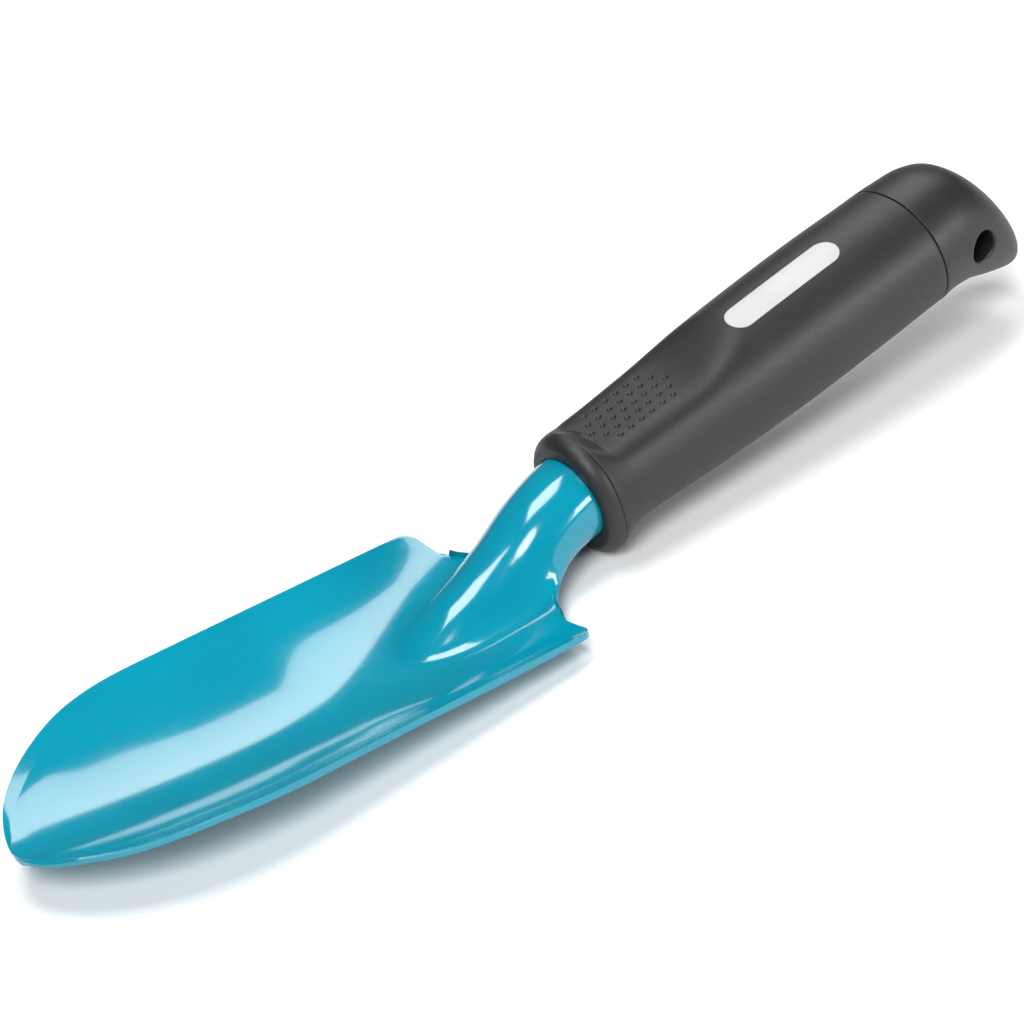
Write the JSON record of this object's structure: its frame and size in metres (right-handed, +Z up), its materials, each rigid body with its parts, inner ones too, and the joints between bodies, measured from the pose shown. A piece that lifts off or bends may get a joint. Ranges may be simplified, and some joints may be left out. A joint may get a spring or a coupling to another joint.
{
  "type": "hand trowel",
  "caption": "Hand trowel with a turquoise pressed-steel scoop blade, ridged neck, dark moulded grip with a thumb rest and an end cap with a hanging hole.",
  "frame": {"origin": "on the bench, under the middle of the tool's length, with the tool lying on its blade and collar, scoop upwards", "axes": "+X towards the hanging end, +Y across the blade, +Z up"},
  "size_m": [0.357, 0.0796, 0.0537],
  "materials": {
    "blade_coat": "glossy powder coat",
    "collar_plastic": "fine grain",
    "grip_plastic": "fine grain",
    "badge_plastic": "satin",
    "core_plastic": "as moulded",
    "pin_steel": "plain",
    "cap_plastic": "fine grain"
  },
  "bodies": {
    "root": {"blade": "blade_coat", "collar": "collar_plastic", "grip": "grip_plastic", "badge": "badge_plastic", "core": "core_plastic", "tang_pins": "pin_steel", "end_cap": "cap_plastic"}
  },
  "joints": []
}
